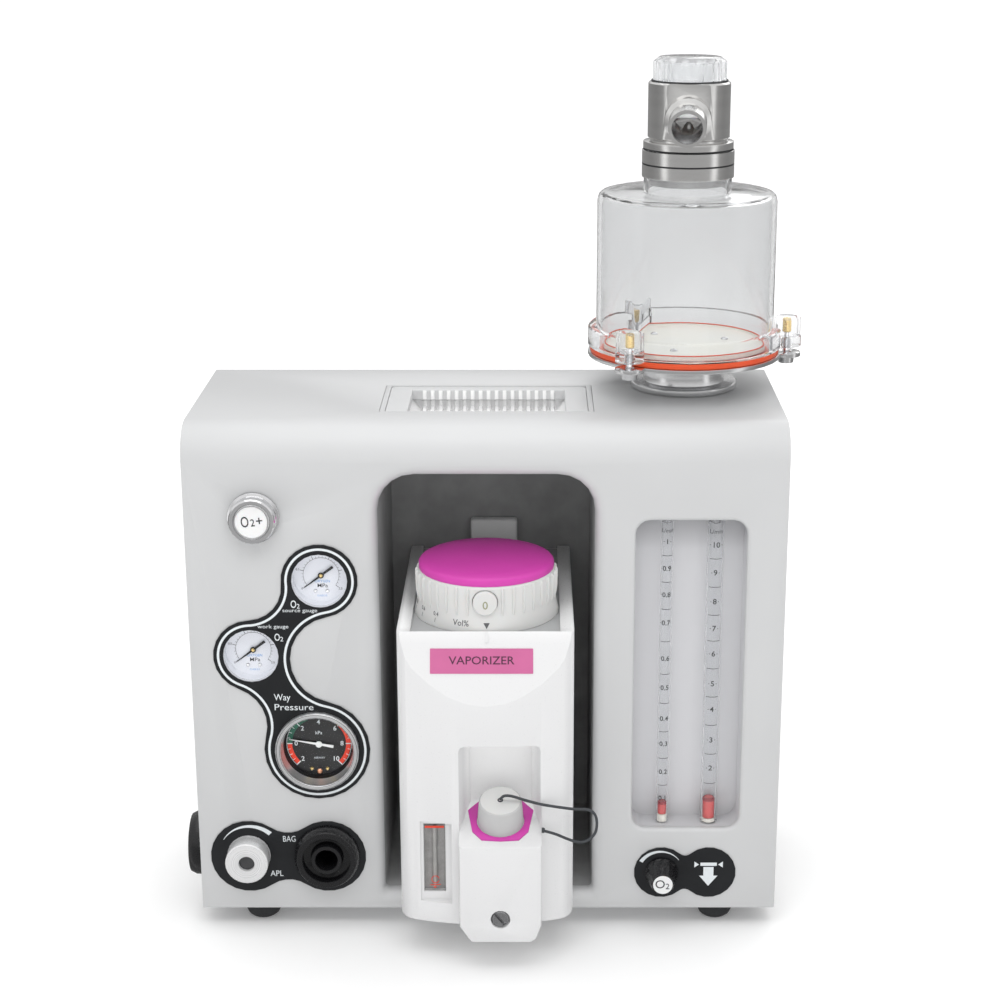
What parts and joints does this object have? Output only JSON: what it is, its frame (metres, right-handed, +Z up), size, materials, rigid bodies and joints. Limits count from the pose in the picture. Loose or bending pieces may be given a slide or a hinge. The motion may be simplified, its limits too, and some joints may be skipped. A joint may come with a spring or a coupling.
{
  "type": "anesthesia machine",
  "caption": "Desktop veterinary anesthesia machine with vaporizer in a bay, flow tubes, pressure gauges, breathing ports, lift-up handle and a clear absorber canister on top.",
  "frame": {"origin": "centre of the whole object's footprint box, on the surface that its feet stand on", "axes": "+Z up, +X to the viewer's right, the front panel faces -Y"},
  "size_m": [0.4505, 0.2774, 0.619],
  "materials": {
    "silver_paint": "satin light silver-grey paint",
    "dark_paint": "matt charcoal paint",
    "bare_sheet": "plain zinc-grey sheet steel",
    "overlay_film": "satin black printed film",
    "white_enamel": "smooth white housing",
    "white_plastic": "smooth white plastic",
    "dial_plastic": "satin off-white plastic",
    "magenta_plastic": "smooth magenta plastic",
    "black_plastic": "smooth black plastic",
    "black_rubber": "matt black rubber",
    "red_float": "satin red plastic",
    "orange_silicone": "matt orange-red silicone",
    "turned_aluminium": "bright turned aluminium",
    "chrome": "polished chrome",
    "brass": "turned brass",
    "gauge_white": "matt white dial plate and can",
    "clear_acrylic": "clear polished acrylic"
  },
  "bodies": {
    "machine": {"front_top_cover": "silver_paint", "base_plate": "bare_sheet", "back_panel": "silver_paint", "side_panel_left": "silver_paint", "side_panel_right": "silver_paint", "vaporizer_bay": "dark_paint", "flow_window_box": "silver_paint", "foot_front_left": "black_rubber", "foot_front_right": "black_rubber", "foot_rear_left": "black_rubber", "foot_rear_right": "black_rubber", "handle_tray": "silver_paint", "gauge_overlay": "overlay_film", "valve_overlay": "overlay_film", "flow_overlay": "overlay_film", "source_gauge_case": "gauge_white", "source_gauge_lens": "clear_acrylic", "work_gauge_case": "gauge_white", "work_gauge_lens": "clear_acrylic", "airway_gauge_case": "chrome", "airway_gauge_lens": "clear_acrylic", "flush_button_housing": "chrome", "apl_valve_body": "turned_aluminium", "bag_port": "black_plastic", "side_port": "black_plastic", "oxygen_inlet": "brass", "flow_valve_body": "brass", "low_flow_tube": "clear_acrylic", "high_flow_tube": "clear_acrylic", "flow_manifold": "turned_aluminium", "vaporizer_body": "white_enamel", "vaporizing_chamber": "turned_aluminium", "filler_bezel": "magenta_plastic", "cap_lanyard": "black_rubber", "sight_glass": "clear_acrylic", "vaporizer_mount": "white_plastic", "absorber_mount": "turned_aluminium", "absorber_base": "turned_aluminium", "canister_gasket": "orange_silicone"},
    "handle": {"carrying_handle": "silver_paint"},
    "source_needle": {"source_gauge_needle": "black_plastic"},
    "work_needle": {"work_gauge_needle": "black_plastic"},
    "airway_needle": {"airway_gauge_needle": "white_plastic"},
    "flush": {"flush_button": "white_plastic"},
    "apl": {"apl_knob": "turned_aluminium"},
    "flow_control": {"flow_knob": "black_plastic"},
    "low_float": {"low_flow_float": "red_float"},
    "high_float": {"high_flow_float": "red_float"},
    "dial": {"control_dial": "dial_plastic", "dial_cap": "magenta_plastic"},
    "dial_lock": {"dial_lock_button": "dial_plastic"},
    "filler": {"filler_cap": "dial_plastic"},
    "drain": {"drain_screw": "chrome"},
    "canister_set": {"canister": "clear_acrylic"},
    "clamp_1": {"clamp_knob_1": "clear_acrylic"},
    "clamp_2": {"clamp_knob_2": "clear_acrylic"},
    "clamp_3": {"clamp_knob_3": "clear_acrylic"},
    "valve_head": {"valve_housing": "turned_aluminium"},
    "disc": {"valve_disc": "white_plastic"},
    "head_cap": {"valve_cap": "clear_acrylic"}
  },
  "joints": [
    {"name": "handle_fold", "type": "hinge", "parent": "machine", "child": "handle", "pos_m": [-0.00411, -0.01424, 0.3758], "axis": [1, 0, 0], "range_deg": [0, 90]},
    {"name": "source_needle_turn", "type": "hinge", "parent": "machine", "child": "source_needle", "pos_m": [-0.12111, -0.05284, 0.269], "axis": [0, 1, 0], "range_deg": [0, 254], "stiffness_Nm_per_rad": 0.0002},
    {"name": "work_needle_turn", "type": "hinge", "parent": "machine", "child": "work_needle", "pos_m": [-0.17111, -0.05284, 0.213], "axis": [0, 1, 0], "range_deg": [0, 254], "stiffness_Nm_per_rad": 0.0002},
    {"name": "airway_needle_turn", "type": "hinge", "parent": "machine", "child": "airway_needle", "pos_m": [-0.12611, -0.05514, 0.141], "axis": [0, 1, 0], "range_deg": [-55, 215], "stiffness_Nm_per_rad": 0.0002},
    {"name": "flush_press", "type": "slide", "parent": "machine", "child": "flush", "axis": [0, 1, 0], "range_m": [0, 0.005], "stiffness_N_per_m": 900},
    {"name": "apl_turn", "type": "hinge", "parent": "machine", "child": "apl", "pos_m": [-0.17831, -0.06474, 0.0585], "axis": [0, -1, 0], "range_deg": [0, 300]},
    {"name": "flow_turn", "type": "hinge", "parent": "machine", "child": "flow_control", "pos_m": [0.12239, -0.06474, 0.044], "axis": [0, -1, 0], "range_deg": [0, 720]},
    {"name": "low_float_rise", "type": "slide", "parent": "machine", "child": "low_float", "axis": [0, 0, 1], "range_m": [0, 0.195]},
    {"name": "high_float_rise", "type": "slide", "parent": "machine", "child": "high_float", "axis": [0, 0, 1], "range_m": [0, 0.195]},
    {"name": "dial_turn", "type": "hinge", "parent": "machine", "child": "dial", "pos_m": [-0.00411, -0.05724, 0.2455], "axis": [0, 0, 1], "range_deg": [0, 270]},
    {"name": "dial_lock_press", "type": "slide", "parent": "dial", "child": "dial_lock", "axis": [0, 1, 0], "range_m": [0, 0.003], "stiffness_N_per_m": 500},
    {"name": "filler_cap_turn", "type": "hinge", "parent": "machine", "child": "filler", "pos_m": [0.00589, -0.11474, 0.10818], "axis": [0, -0.3227, 0.9465], "range_deg": [0, 720]},
    {"name": "drain_screw_turn", "type": "hinge", "parent": "machine", "child": "drain", "pos_m": [0.00589, -0.13874, 0.045], "axis": [0, -1, 0], "range_deg": [0, 720]},
    {"name": "canister_lift", "type": "slide", "parent": "machine", "child": "canister_set", "axis": [0, 0, 1], "range_m": [0, 0.12]},
    {"name": "clamp_turn_1", "type": "hinge", "parent": "canister_set", "child": "clamp_1", "pos_m": [0.21491, 0.05373, 0.4191], "axis": [0, 0, 1], "range_deg": [0, 720]},
    {"name": "clamp_turn_2", "type": "hinge", "parent": "canister_set", "child": "clamp_2", "pos_m": [0.09717, -0.00117, 0.4191], "axis": [0, 0, 1], "range_deg": [0, 720]},
    {"name": "clamp_turn_3", "type": "hinge", "parent": "canister_set", "child": "clamp_3", "pos_m": [0.1085, 0.12824, 0.4191], "axis": [0, 0, 1], "range_deg": [0, 720]},
    {"name": "valve_head_turn", "type": "hinge", "parent": "canister_set", "child": "valve_head", "pos_m": [0.14019, 0.06026, 0.555], "axis": [0, 0, 1], "range_deg": [-180, 180]},
    {"name": "valve_disc_lift", "type": "slide", "parent": "valve_head", "child": "disc", "axis": [0, 0, 1], "range_m": [0, 0.003]},
    {"name": "valve_cap_turn", "type": "hinge", "parent": "valve_head", "child": "head_cap", "pos_m": [0.14019, 0.06026, 0.6023], "axis": [0, 0, 1], "range_deg": [0, 720]}
  ]
}
